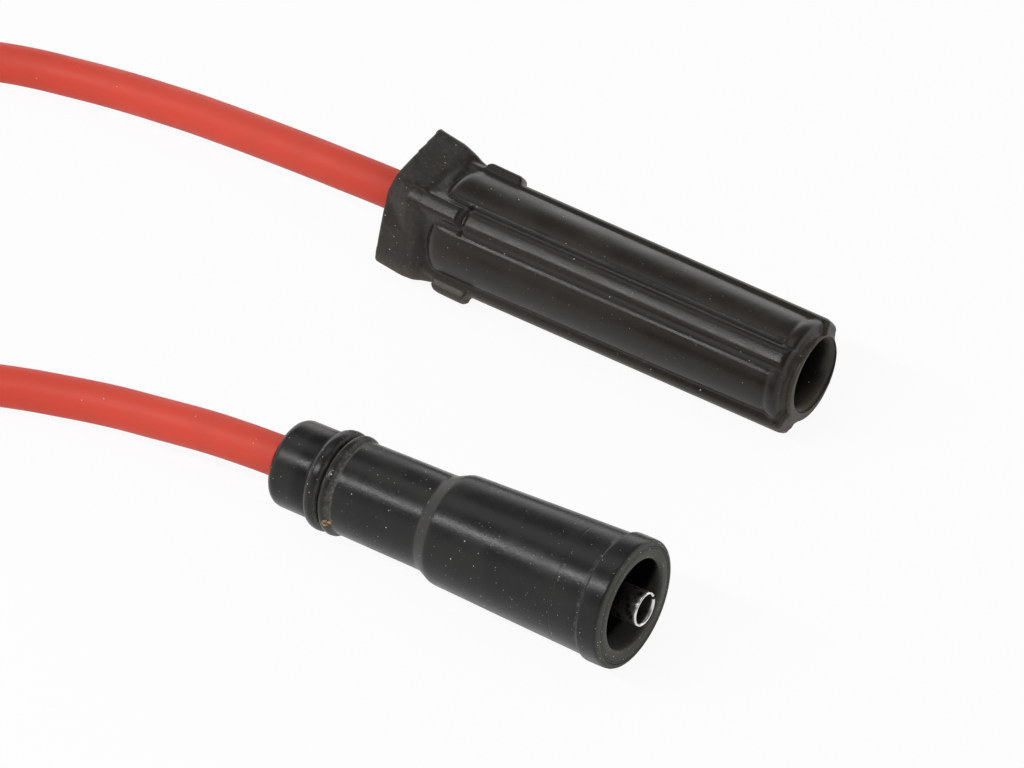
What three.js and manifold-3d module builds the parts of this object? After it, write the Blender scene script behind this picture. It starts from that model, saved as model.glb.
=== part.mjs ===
// A spark plug lead: one red silicone ignition cable with a long ribbed rubber boot on its
// spark plug end and a round rubber boot on its coil end, both lying on a flat surface.
// Millimetres, +Z up, the surface at z = 0. Both boots point along +X, side by side, and the
// origin is under the middle of the two boots.
import * as THREE from 'three';
import { mergeVertices } from 'three/addons/utils/BufferGeometryUtils.js';
import Module from 'manifold-3d';

const wasm = await Module();
wasm.setup();

// Cable
const CABLE_D = 7;            // outside of the silicone jacket
const CONDUCTOR_D = 1.8;      // stranded core, bared for the crimp
const CORE_BARED = 4.6;       // length of bared core in front of the jacket
const CABLE_SIDES = 12;
const CABLE_STEPS = 72;

// Clearances
const FIT = 0.3;              // between pieces that seat in or on each other

// Boot on the spark plug: stations are measured back from its mouth
const PLUG_LENGTH = 78.8;
const PLUG_BODY_R_REAR = 9.55;
const PLUG_BODY_R_MOUTH = 9.05;
const PLUG_NECK_R = 8.3;      // waist between the collar and the body
const PLUG_NECK_FROM_MOUTH = 71.2;
const PLUG_SHOULDER_RUN = 2.5;
const PLUG_BEAD_R = 9.3;      // rolled edge of the mouth
const PLUG_BEAD_BACK = 3.4;
const PLUG_BEAD_RUN = 1;
const PLUG_BEAD_SINK = 0.1;   // the faint line behind the rolled edge
const PLUG_LIP_ROUND = 1.7;
const PLUG_BORE_R = 5.5;      // grips the plug's insulator
const PLUG_BORE_DEPTH = 30;
const PLUG_MOUTH_FLARE = 0.7;
const PLUG_FLARE_RUN = 1.2;
const PLUG_LEAD_IN = 0.15;    // widening left behind the flare
const PLUG_LEAD_IN_RUN = 3;
const PLUG_CHAMBER_R = 5.3;   // room for the spring clip
const RIB_COUNT = 4;
const RIB_WIDTH = 4.7;
const RIB_HEIGHT = 0.85;
const RIB_SINK = 0.1;         // the rib's foot line lies this far under the body's surface
const RIB_SHORT_OF_MOUTH = 0.6;
const RIB_END_RUN = 1.25;
const LUG_WIDTH = 3.3;
const LUG_R = 11.3;
const LUG_TOP_ROUND = 0.6;
const LUG_FROM_MOUTH = 61.8;
const FRONT_LUG_SHORTER = 2.3; // the front and rear lugs end this much further back
// reach of the square collar's corners: top, front, bottom, rear; its back edge sits off centre
const COLLAR_REACH_BACK = [12.9, 10.3, 11, 12];
const COLLAR_REACH = [12.7, 12, 12, 12];
const COLLAR_CORNER_R = 1.2;
const COLLAR_LENGTH = 5.4;
const COLLAR_BACK_ROUND = 0.5;
const COLLAR_ROOT = 1;        // body, ribs and lugs reach this far into the collar
const BUTTRESS_RUN = 4.4;
const BUTTRESS_DROP = 0.6;
const BUTTRESS_HOLLOW = 1.2;  // how far its sides are dished between the corners
const PLUG_ROLL = 37.8;       // degrees from the top to the front rib
const PLUG_YAW = -0.8;
const TAIL_LIFT = 0.6;        // the boot's tail is bent this far up and sideways by the cable
const TAIL_SWAY = 0.6;
const TAIL_BEND_FROM = 60;

// Terminal in the plug boot: a sheet-metal socket, a core crimp and a jacket crimp
const SHEET = 0.5;
const PLUG_SOCKET_R = 3.3;    // inside, over the plug's terminal nut
const PLUG_SOCKET_LENGTH = 14;
const SOCKET_SLIT = 0.8;
const CRIMP_NECK = 3;         // length of each conical neck
const CORE_CRIMP_LENGTH = 3.6;
const JACKET_CRIMP_LENGTH = 8.5;
const CLIP_WIRE_R = 0.45;
const CLIP_GROOVE = 0.22;
const CLIP_GROOVE_WIDTH = 1.7;
const CLIP_FROM_SOCKET_FRONT = 5.6;
const CLIP_GAP_DEGREES = 62;

// Boot on the coil
const COIL_LENGTH = 66;
const COIL_LIP_R = 10.9;
const COIL_LIP_LENGTH = 3.9;
const COIL_LIP_ROUND = 0.6;
const COIL_LIP_STEP = 0.4;
const COIL_FRONT_R = 9.4;     // at the step, growing towards the lip
const COIL_STEP_AT = 33.9;
const COIL_STEP_RUN = 2.6;
const COIL_MID_R = 8.15;
const COIL_MID_R_REAR = 7.95;
const RING_COUNT = 2;
const RING_PITCH = 2.75;
const RING_CREST = 0.6;
const RINGS_END_AT = 52.6;
const COIL_TAIL_R = 7.45;
const COIL_TAIL_ROUND = 1.5;
const COIL_BORE_R = 7.65;     // over the coil's tower
const COIL_BORE_DEPTH = 27;
const COIL_BORE_EDGE = 0.35;

// Terminal in the coil boot
const COIL_SOCKET_R = 2.4;    // inside, over a 4 mm pin
const COIL_SOCKET_PROUD = 2;  // the socket stands this far out of the mouth
const COIL_SOCKET_LENGTH = 30;
const COIL_SLIT_TURN = 118;   // degrees from the top, seen from the mouth

// Where the boots lie: the middle of each mouth, seen from above
const COIL_MOUTH = [41.12, -31.5];
const COIL_YAW = -1;
const PLUG_MOUTH = [35.7, 30.99];

// Smoothness
const ROUND = 48;
const TERMINAL_ROUND = 32;

// The way of the cable, from the crimp in the plug boot, out along the surface, round a loop
// and back into the crimp in the coil boot
const ROUTE = [
  [-18.49, 31.75, 9.61], [-28.29, 31.91, 9.7], [-34.89, 32.17, 9.9], [-39.29, 32.42, 10.11],
  [-43.09, 32.69, 10.36], [-50.05, 32.17, 10.95], [-56, 31.99, 11], [-62.29, 32.26, 10.6],
  [-68.69, 32.63, 10], [-75.23, 33.15, 9.2], [-81.89, 33.77, 8.2], [-88.62, 34.43, 7.1],
  [-95.23, 34.86, 6], [-101.74, 35.1, 5], [-108.01, 34.97, 4.2], [-114.9, 34.18, 3.7],
  [-121.45, 32.91, 3.56], [-127.6, 31.06, 3.55], [-146.13, 23.5, 3.55], [-159.53, 15.1, 3.55],
  [-168.63, 2.2, 3.55], [-172.13, -13.2, 3.55], [-169.43, -28.8, 3.55], [-161.03, -42.2, 3.55],
  [-148.13, -51.3, 3.55], [-132.73, -54.8, 3.55], [-117.13, -52.1, 3.55], [-104.63, -47.3, 3.55],
  [-91.63, -42.3, 3.55], [-78.22, -36.99, 3.55], [-73.42, -35.22, 3.55], [-68.46, -33.7, 3.6],
  [-63.29, -32.46, 3.9], [-57.81, -31.67, 4.5], [-52.05, -31.3, 5.3], [-46.25, -31.02, 6.2],
  [-40.48, -30.76, 7], [-34.66, -30.6, 7.6], [-30.06, -30.45, 7.9], [-25.3, -30.34, 8.11],
  [-16.81, -30.49, 8.49], [-6.82, -30.66, 8.93], [3.26, -30.84, 9.38],
];

const rad = THREE.MathUtils.degToRad;

// Profile points are [station, radius], turned about the X axis
function lathe(points, segments) {
  const outline = points.map(([station, radius]) => new THREE.Vector2(radius, station));
  const geometry = new THREE.LatheGeometry(outline, segments);
  geometry.rotateZ(-Math.PI / 2);
  return geometry;
}

// A closed body through rings of points that all have the same count
function loft(rings) {
  const count = rings[0].length;
  const first = rings[0];
  const final = rings[rings.length - 1];
  const middle = (points) => points.reduce((sum, p) => sum.add(p), new THREE.Vector3()).divideScalar(count);
  const all = [...rings.flat(), middle(first), middle(final)];
  const positions = all.flatMap((p) => [p.x, p.y, p.z]);
  const index = [];
  for (let r = 0; r < rings.length - 1; r += 1) {
    for (let i = 0; i < count; i += 1) {
      const a = r * count + i;
      const b = r * count + ((i + 1) % count);
      index.push(a, b, a + count, b, b + count, a + count);
    }
  }
  const last = (rings.length - 1) * count;
  const startMiddle = last + count;
  for (let i = 0; i < count; i += 1) {
    const next = (i + 1) % count;
    index.push(startMiddle, next, i);
    index.push(startMiddle + 1, last + i, last + next);
  }
  const geometry = new THREE.BufferGeometry();
  geometry.setAttribute('position', new THREE.Float32BufferAttribute(positions, 3));
  geometry.setIndex(index);
  return geometry;
}

function toSolid(geometry) {
  const bare = geometry.clone();
  bare.deleteAttribute('normal');
  bare.deleteAttribute('uv');
  const merged = mergeVertices(bare, 1e-4);
  const mesh = new wasm.Mesh({
    numProp: 3,
    vertProperties: new Float32Array(merged.attributes.position.array),
    triVerts: new Uint32Array(merged.index.array),
  });
  mesh.merge();
  const solid = new wasm.Manifold(mesh);
  // a shape turned inside out has a negative volume
  if (solid.volume() >= 0) return solid;
  const flipped = mesh.triVerts.slice();
  for (let i = 0; i < flipped.length; i += 3) {
    [flipped[i + 1], flipped[i + 2]] = [flipped[i + 2], flipped[i + 1]];
  }
  return new wasm.Manifold(new wasm.Mesh({
    numProp: 3,
    vertProperties: mesh.vertProperties,
    triVerts: flipped,
  }));
}

function toGeometry(solid) {
  const mesh = solid.getMesh();
  const geometry = new THREE.BufferGeometry();
  geometry.setAttribute('position', new THREE.BufferAttribute(mesh.vertProperties, 3));
  geometry.setIndex(new THREE.BufferAttribute(mesh.triVerts, 1));
  geometry.computeVertexNormals();
  return geometry;
}

// Points of an arc in [station, radius], from one angle to another in degrees
function arc(station, radius, size, from, to, steps) {
  const points = [];
  for (let i = 0; i <= steps; i += 1) {
    const a = rad(from + ((to - from) * i) / steps);
    points.push([station + size * Math.cos(a), radius + size * Math.sin(a)]);
  }
  return points;
}

const rubberBrown = new THREE.MeshStandardMaterial({ color: 0x2b2723, roughness: 0.55 });
const rubberBlack = new THREE.MeshStandardMaterial({ color: 0x222323, roughness: 0.45 });
const siliconeRed = new THREE.MeshStandardMaterial({ color: 0xd45044, roughness: 0.6 });
const tinnedSteel = new THREE.MeshStandardMaterial({ color: 0xb8b4aa, roughness: 0.3, metalness: 1 });
const springSteel = new THREE.MeshStandardMaterial({ color: 0x9a9a98, roughness: 0.35, metalness: 1 });
const copperStrand = new THREE.MeshStandardMaterial({ color: 0xb06a3c, roughness: 0.4, metalness: 1 });

const cableR = CABLE_D / 2;
const coreR = CONDUCTOR_D / 2;
const cableHoleR = cableR + FIT;
const jacketCrimpR = cableR + FIT;
const coreCrimpR = coreR + FIT;

// Stations in the plug boot
const plugSocketFront = -(PLUG_BORE_DEPTH + FIT);
const plugSocketBack = plugSocketFront - PLUG_SOCKET_LENGTH;
const plugCoreFront = plugSocketBack - CRIMP_NECK;
const plugCoreBack = plugCoreFront - CORE_CRIMP_LENGTH;
const plugJacketFront = plugCoreBack - CRIMP_NECK;
const plugTerminalBack = plugJacketFront - JACKET_CRIMP_LENGTH;
const plugCableEnd = plugJacketFront - FIT;
const plugRoot = -PLUG_LENGTH + COLLAR_LENGTH - COLLAR_ROOT;

// Stations in the coil boot
const coilSocketFront = COIL_SOCKET_PROUD;
const coilSocketBack = coilSocketFront - COIL_SOCKET_LENGTH;
const coilCoreFront = coilSocketBack - CRIMP_NECK;
const coilCoreBack = coilCoreFront - CORE_CRIMP_LENGTH;
const coilJacketFront = coilCoreBack - CRIMP_NECK;
const coilTerminalBack = coilJacketFront - JACKET_CRIMP_LENGTH;
const coilCableEnd = coilJacketFront - FIT;

// The outside of the plug boot's body, with its waist and its rolled mouth
function plugBody() {
  const bead = PLUG_BEAD_R - PLUG_LIP_ROUND;
  const shoulder = [];
  const steps = 5;
  for (let i = 0; i <= steps; i += 1) {
    const rise = (1 - Math.cos((Math.PI * i) / steps)) / 2;
    shoulder.push([
      -PLUG_NECK_FROM_MOUTH + (PLUG_SHOULDER_RUN * i) / steps,
      PLUG_NECK_R + (PLUG_BODY_R_REAR - PLUG_NECK_R) * rise,
    ]);
  }
  return lathe([
    [plugRoot, 0],
    [plugRoot, PLUG_NECK_R],
    ...shoulder,
    [-PLUG_BEAD_BACK - PLUG_BEAD_RUN, PLUG_BODY_R_MOUTH],
    [-PLUG_BEAD_BACK, PLUG_BODY_R_MOUTH - PLUG_BEAD_SINK],
    [-PLUG_BEAD_BACK + PLUG_BEAD_RUN, PLUG_BEAD_R - PLUG_BEAD_SINK],
    ...arc(-PLUG_LIP_ROUND, bead, PLUG_LIP_ROUND, 90, 0, 4),
    [0, 0],
  ], ROUND);
}

// Section across a rib or lug, its middle on +Z: an arc or a flat top over straight sides
function ribSection(width, foot, crest) {
  const half = width / 2;
  const rise = crest - foot;
  const radius = (half * half + rise * rise) / (2 * rise);
  const sweep = Math.asin(half / radius);
  const points = [];
  const steps = 8;
  for (let i = 0; i <= steps; i += 1) {
    const a = -sweep + (2 * sweep * i) / steps;
    points.push([radius * Math.sin(a), crest - radius + radius * Math.cos(a)]);
  }
  points.push([half, foot - RIB_HEIGHT * 2], [-half, foot - RIB_HEIGHT * 2]);
  return points;
}

function lugSection(width, crest) {
  const half = width / 2;
  const points = [];
  const steps = 3;
  for (const side of [-1, 1]) {
    for (let i = 0; i <= steps; i += 1) {
      const a = side < 0 ? rad(180 - (90 * i) / steps) : rad(90 - (90 * i) / steps);
      points.push([
        side * (half - LUG_TOP_ROUND) + LUG_TOP_ROUND * Math.cos(a),
        crest - LUG_TOP_ROUND + LUG_TOP_ROUND * Math.sin(a),
      ]);
    }
  }
  points.push([half, PLUG_BODY_R_REAR - RIB_HEIGHT * 2], [-half, PLUG_BODY_R_REAR - RIB_HEIGHT * 2]);
  return points;
}

const ring = (station, section) => section.map(([y, z]) => new THREE.Vector3(station, y, z));

function plugRib() {
  const end = -RIB_SHORT_OF_MOUTH;
  const foot = (body) => body - RIB_SINK;
  const rear = ribSection(RIB_WIDTH, foot(PLUG_BODY_R_REAR), PLUG_BODY_R_REAR + RIB_HEIGHT);
  const front = ribSection(RIB_WIDTH, foot(PLUG_BODY_R_MOUTH), PLUG_BODY_R_MOUTH + RIB_HEIGHT);
  const tip = ribSection(RIB_WIDTH * 0.8, foot(PLUG_BODY_R_MOUTH) - 0.3, PLUG_BODY_R_MOUTH + RIB_HEIGHT * 0.55);
  return loft([ring(plugRoot, rear), ring(end - RIB_END_RUN, front), ring(end, tip)]);
}

function plugLug(end) {
  const section = lugSection(LUG_WIDTH, LUG_R);
  return loft([ring(plugRoot, section), ring(end, section)]);
}

// A square with round corners, its corners on the Y and Z axes like the ribs, its sides dished
function collarSection(reaches, corner, hollow) {
  const steps = 4;
  const corners = reaches.map((reach, q) => {
    const middle = rad(90 * q);
    const turn = [];
    for (let i = 0; i <= steps; i += 1) {
      const a = middle - rad(45) + (rad(90) * i) / steps;
      turn.push([
        (reach - corner) * Math.cos(middle) + corner * Math.cos(a),
        (reach - corner) * Math.sin(middle) + corner * Math.sin(a),
      ]);
    }
    return turn;
  });
  const points = [];
  corners.forEach((turn, q) => {
    const from = turn[steps];
    const to = corners[(q + 1) % corners.length][0];
    const facing = rad(90 * q + 45);
    points.push(...turn);
    for (let i = 1; i < steps; i += 1) {
      const t = i / steps;
      const dish = hollow * (1 - (2 * t - 1) ** 2);
      points.push([
        from[0] + (to[0] - from[0]) * t - dish * Math.cos(facing),
        from[1] + (to[1] - from[1]) * t - dish * Math.sin(facing),
      ]);
    }
  });
  return points;
}

function plugCollar() {
  const rear = -PLUG_LENGTH;
  const less = (reaches, drop) => reaches.map((reach) => reach - drop);
  const edgeR = COLLAR_CORNER_R - COLLAR_BACK_ROUND;
  const toe = less(COLLAR_REACH, BUTTRESS_DROP);
  return loft([
    ring(rear, collarSection(less(COLLAR_REACH_BACK, COLLAR_BACK_ROUND), edgeR, 0)),
    ring(rear + COLLAR_BACK_ROUND, collarSection(COLLAR_REACH_BACK, COLLAR_CORNER_R, 0)),
    ring(rear + COLLAR_LENGTH, collarSection(COLLAR_REACH, COLLAR_CORNER_R, 0)),
    ring(rear + COLLAR_LENGTH + BUTTRESS_RUN, collarSection(toe, COLLAR_CORNER_R, BUTTRESS_HOLLOW)),
  ]);
}

// The hollow of the plug boot: insulator bore, terminal chamber, crimp neck, cable hole
function plugHollow() {
  const neckR = jacketCrimpR + SHEET + FIT;
  const neckBack = plugTerminalBack - FIT;
  return lathe([
    [1, 0],
    [1, PLUG_BORE_R + PLUG_MOUTH_FLARE],
    [0, PLUG_BORE_R + PLUG_MOUTH_FLARE],
    [-PLUG_FLARE_RUN, PLUG_BORE_R + PLUG_LEAD_IN],
    [-PLUG_LEAD_IN_RUN, PLUG_BORE_R],
    [-PLUG_BORE_DEPTH, PLUG_BORE_R],
    [-PLUG_BORE_DEPTH, PLUG_CHAMBER_R],
    [plugSocketBack, PLUG_CHAMBER_R],
    [plugCoreFront, neckR],
    [neckBack, neckR],
    [neckBack - 1, cableHoleR],
    [-PLUG_LENGTH + 0.8, cableHoleR],
    [-PLUG_LENGTH, cableHoleR + 0.5],
    [-PLUG_LENGTH - 1, cableHoleR + 0.5],
    [-PLUG_LENGTH - 1, 0],
  ], ROUND);
}

// How much of its bend the boot's tail has at a station: 0 in the body, 1 at the rear
function tailBend(station) {
  const past = Math.max(0, -station - TAIL_BEND_FROM) / (PLUG_LENGTH - TAIL_BEND_FROM);
  return past * past;
}

function plugBootGeometry() {
  let solid = toSolid(plugBody()).add(toSolid(plugCollar()));
  for (let i = 0; i < RIB_COUNT; i += 1) {
    const turn = rad((360 / RIB_COUNT) * i);
    solid = solid.add(toSolid(plugRib().rotateX(turn)));
    const lugEnd = -LUG_FROM_MOUTH - (i % 2 === 0 ? FRONT_LUG_SHORTER : 0);
    solid = solid.add(toSolid(plugLug(lugEnd).rotateX(turn)));
  }
  solid = solid.subtract(toSolid(plugHollow()));
  const geometry = toGeometry(solid);
  geometry.rotateX(rad(PLUG_ROLL));
  const position = geometry.attributes.position;
  for (let i = 0; i < position.count; i += 1) {
    const bend = tailBend(position.getX(i));
    position.setY(i, position.getY(i) + TAIL_SWAY * bend);
    position.setZ(i, position.getZ(i) + TAIL_LIFT * bend);
  }
  return geometry;
}

// A terminal rolled from sheet, slit along its seam; its stations run back from the socket
function terminalGeometry(socketR, front, socketBack, coreFront, coreBack, jacketFront, back, groove) {
  const out = socketR + SHEET;
  const flare = SHEET * 0.4;
  const profile = [
    [front, socketR + flare],
    [front, out],
    ...groove,
    [socketBack, out],
    [coreFront, coreCrimpR + SHEET],
    [coreBack, coreCrimpR + SHEET],
    [jacketFront, jacketCrimpR + SHEET],
    [back, jacketCrimpR + SHEET],
    [back, jacketCrimpR],
    [jacketFront, jacketCrimpR],
    [coreBack, coreCrimpR],
    [coreFront, coreCrimpR],
    [socketBack, socketR],
    [front - 1, socketR],
    [front, socketR + flare],
  ];
  const slit = new THREE.BoxGeometry(front - back + CABLE_D, SOCKET_SLIT, 2 * CABLE_D);
  slit.translate((front + back) / 2, 0, CABLE_D + coreR / 2);
  return toGeometry(toSolid(lathe(profile, TERMINAL_ROUND)).subtract(toSolid(slit)));
}

function plugTerminalGeometry() {
  const grooveMiddle = plugSocketFront - CLIP_FROM_SOCKET_FRONT;
  const out = PLUG_SOCKET_R + SHEET;
  const groove = [
    [grooveMiddle + CLIP_GROOVE_WIDTH / 2, out],
    [grooveMiddle + CLIP_GROOVE_WIDTH / 2, out - CLIP_GROOVE],
    [grooveMiddle - CLIP_GROOVE_WIDTH / 2, out - CLIP_GROOVE],
    [grooveMiddle - CLIP_GROOVE_WIDTH / 2, out],
  ];
  return terminalGeometry(PLUG_SOCKET_R, plugSocketFront, plugSocketBack, plugCoreFront,
    plugCoreBack, plugJacketFront, plugTerminalBack, groove);
}

// An open ring of spring wire round the socket, in its groove
function plugClipGeometry() {
  const ringR = PLUG_SOCKET_R + SHEET - CLIP_GROOVE + FIT + CLIP_WIRE_R;
  const steps = 28;
  const sides = 8;
  const rings = [];
  for (let i = 0; i <= steps; i += 1) {
    const around = rad(CLIP_GAP_DEGREES / 2 + ((360 - CLIP_GAP_DEGREES) * i) / steps);
    const section = [];
    for (let k = 0; k < sides; k += 1) {
      const a = (2 * Math.PI * k) / sides;
      const r = ringR + CLIP_WIRE_R * Math.cos(a);
      section.push(new THREE.Vector3(
        plugSocketFront - CLIP_FROM_SOCKET_FRONT + CLIP_WIRE_R * Math.sin(a),
        r * Math.sin(around),
        r * Math.cos(around),
      ));
    }
    rings.push(section);
  }
  return toGeometry(toSolid(loft(rings)));
}

function coreGeometry(jacketEnd) {
  const start = jacketEnd + FIT;
  const end = start + CORE_BARED;
  const soft = coreR * 0.35;
  return toGeometry(toSolid(lathe([
    [start, 0],
    [start, coreR],
    [end - soft, coreR],
    [end, coreR - soft],
    [end, 0],
  ], 16)));
}

// The coil boot is a plain turned form with a stepped bore
function coilBootGeometry() {
  const lipBack = -COIL_LIP_LENGTH;
  const ringsStart = -RINGS_END_AT - RING_COUNT * RING_PITCH;
  const rings = [];
  for (let i = RING_COUNT - 1; i >= 0; i -= 1) {
    const middle = -RINGS_END_AT - (i + 0.5) * RING_PITCH;
    const half = RING_PITCH / 2;
    for (let k = 0; k <= 6; k += 1) {
      const a = Math.PI - (Math.PI * k) / 6;
      rings.push([
        middle + half * 0.98 * Math.cos(a),
        COIL_MID_R_REAR - 0.35 + (RING_CREST + 0.35) * Math.sin(a),
      ]);
    }
  }
  const neckR = jacketCrimpR + SHEET + FIT;
  const neckBack = coilTerminalBack - FIT;
  const outside = [
    ...arc(-COIL_LENGTH + COIL_TAIL_ROUND, COIL_TAIL_R - COIL_TAIL_ROUND, COIL_TAIL_ROUND, 180, 90, 5),
    [ringsStart - 0.2, COIL_TAIL_R + 0.1],
    ...rings,
    [-RINGS_END_AT + 0.2, COIL_MID_R_REAR],
    [-COIL_STEP_AT - COIL_STEP_RUN, COIL_MID_R],
    [-COIL_STEP_AT, COIL_FRONT_R],
    [lipBack - 0.3, COIL_LIP_R - COIL_LIP_STEP],
    [lipBack, COIL_LIP_R],
    ...arc(-COIL_LIP_ROUND, COIL_LIP_R - COIL_LIP_ROUND, COIL_LIP_ROUND, 90, 0, 3),
  ];
  const inside = [
    [0, COIL_BORE_R + COIL_BORE_EDGE],
    [-COIL_BORE_EDGE, COIL_BORE_R],
    [-COIL_BORE_DEPTH, COIL_BORE_R],
    [-COIL_BORE_DEPTH, neckR],
    [neckBack, neckR],
    [neckBack - 1, cableHoleR],
    [-COIL_LENGTH + 0.6, cableHoleR],
    [-COIL_LENGTH, cableHoleR + 0.4],
  ];
  return toGeometry(toSolid(lathe([...outside, ...inside, outside[0]], ROUND)));
}

function coilTerminalGeometry() {
  return terminalGeometry(COIL_SOCKET_R, coilSocketFront, coilSocketBack, coilCoreFront,
    coilCoreBack, coilJacketFront, coilTerminalBack, []).rotateX(-rad(COIL_SLIT_TURN));
}

function cableGeometry() {
  const path = new THREE.CatmullRomCurve3(ROUTE.map((p) => new THREE.Vector3(...p)), false, 'centripetal');
  const section = new THREE.Shape();
  for (let i = 0; i < CABLE_SIDES; i += 1) {
    const a = (2 * Math.PI * i) / CABLE_SIDES;
    const at = [cableR * Math.cos(a), cableR * Math.sin(a)];
    if (i === 0) section.moveTo(...at);
    else section.lineTo(...at);
  }
  section.closePath();
  const tube = new THREE.ExtrudeGeometry(section, { steps: CABLE_STEPS, extrudePath: path, bevelEnabled: false });
  return toGeometry(toSolid(tube));
}

function piece(name, geometry, material) {
  const mesh = new THREE.Mesh(geometry, material);
  mesh.name = name;
  return mesh;
}

// Sets a boot down on the surface: tilted as it lies, its mouth over the given place
function lay(group, mouth, tilt, yaw, rests) {
  group.rotation.order = 'ZYX';
  group.rotation.set(0, -tilt, rad(yaw));
  group.position.set(mouth[0], mouth[1], 0);
  group.updateMatrixWorld(true);
  group.position.z = -new THREE.Box3().setFromObject(rests, true).min.z;
  group.updateMatrixWorld(true);
  return group;
}

const coilBoot = piece('coil_boot', coilBootGeometry(), rubberBlack);
const coilEnd = new THREE.Group();
coilEnd.add(
  coilBoot,
  piece('coil_terminal', coilTerminalGeometry(), tinnedSteel),
  piece('coil_end_conductor', coreGeometry(coilCableEnd), copperStrand),
);
const coilRestRun = RINGS_END_AT + (RING_COUNT - 0.5) * RING_PITCH - COIL_LIP_LENGTH;
const coilTilt = Math.atan((COIL_LIP_R - COIL_MID_R_REAR - RING_CREST) / coilRestRun);
lay(coilEnd, COIL_MOUTH, coilTilt, COIL_YAW, coilBoot);

const plugBoot = piece('plug_boot', plugBootGeometry(), rubberBrown);
const plugEnd = new THREE.Group();
plugEnd.add(
  plugBoot,
  piece('plug_terminal', plugTerminalGeometry(), tinnedSteel),
  piece('plug_terminal_clip', plugClipGeometry(), springSteel),
  piece('plug_end_conductor', coreGeometry(plugCableEnd), copperStrand),
);
// it lies on the end of its rear lug and on the bead of its mouth
const lugReach = (LUG_R - LUG_TOP_ROUND) * Math.cos(rad(PLUG_ROLL))
  + (LUG_WIDTH / 2 - LUG_TOP_ROUND) * Math.sin(rad(PLUG_ROLL)) + LUG_TOP_ROUND;
const lugStation = LUG_FROM_MOUTH + FRONT_LUG_SHORTER;
const plugDrop = PLUG_BEAD_R - lugReach + TAIL_LIFT * tailBend(-lugStation);
const plugTilt = Math.atan(plugDrop / (lugStation - PLUG_LIP_ROUND));
lay(plugEnd, PLUG_MOUTH, plugTilt, PLUG_YAW, plugBoot);

const lead = new THREE.Group();
lead.add(coilEnd, plugEnd, piece('cable', cableGeometry(), siliconeRed));

export default lead;
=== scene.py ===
"""A spark plug lead: a red ignition cable with a long ribbed rubber boot on its plug end and a
round rubber boot on its coil end, lying on a pale floor."""
import math

import bmesh
import bpy
from mathutils import Euler, Matrix, Vector
from mathutils.geometry import interpolate_bezier


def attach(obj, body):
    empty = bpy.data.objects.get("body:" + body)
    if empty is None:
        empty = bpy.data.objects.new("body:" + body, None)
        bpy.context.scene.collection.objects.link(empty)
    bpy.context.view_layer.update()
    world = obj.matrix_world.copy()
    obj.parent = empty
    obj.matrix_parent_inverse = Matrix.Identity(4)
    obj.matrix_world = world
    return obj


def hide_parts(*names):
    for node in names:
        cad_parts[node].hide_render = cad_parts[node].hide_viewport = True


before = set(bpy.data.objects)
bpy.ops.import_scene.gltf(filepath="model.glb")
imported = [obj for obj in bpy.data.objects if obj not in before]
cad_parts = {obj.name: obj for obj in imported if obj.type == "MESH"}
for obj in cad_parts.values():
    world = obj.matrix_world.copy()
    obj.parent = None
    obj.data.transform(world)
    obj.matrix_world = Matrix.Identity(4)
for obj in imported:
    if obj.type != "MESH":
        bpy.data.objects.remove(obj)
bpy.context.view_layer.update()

MM = 0.001

# Camera
# It looks down on the lead from the boots' open ends, far away with a long lens, so that both
# boots run down to the right and the cable's loop stays outside the left edge of the picture.
VIEW_AZIMUTH = math.radians(32.7)      # turned from looking along +Y
VIEW_ELEVATION = math.radians(42)
VIEW_DISTANCE = 1.1
VIEW_TARGET = Vector((-9.76, 12.11, 0)) * MM
FOCAL_PIXELS = 6659
PICTURE_WIDTH = 1024
SENSOR_WIDTH = 36

back = Vector((
    math.sin(VIEW_AZIMUTH) * math.cos(VIEW_ELEVATION),
    -math.cos(VIEW_AZIMUTH) * math.cos(VIEW_ELEVATION),
    math.sin(VIEW_ELEVATION),
))
bpy.ops.object.camera_add(location=VIEW_TARGET + back * VIEW_DISTANCE)
camera = bpy.context.object
camera.name = "camera"
camera.rotation_euler = back.to_track_quat("Z", "Y").to_euler()
camera.data.sensor_width = SENSOR_WIDTH
camera.data.lens = FOCAL_PIXELS * SENSOR_WIDTH / PICTURE_WIDTH
camera.data.clip_end = 10
bpy.context.scene.camera = camera

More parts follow.
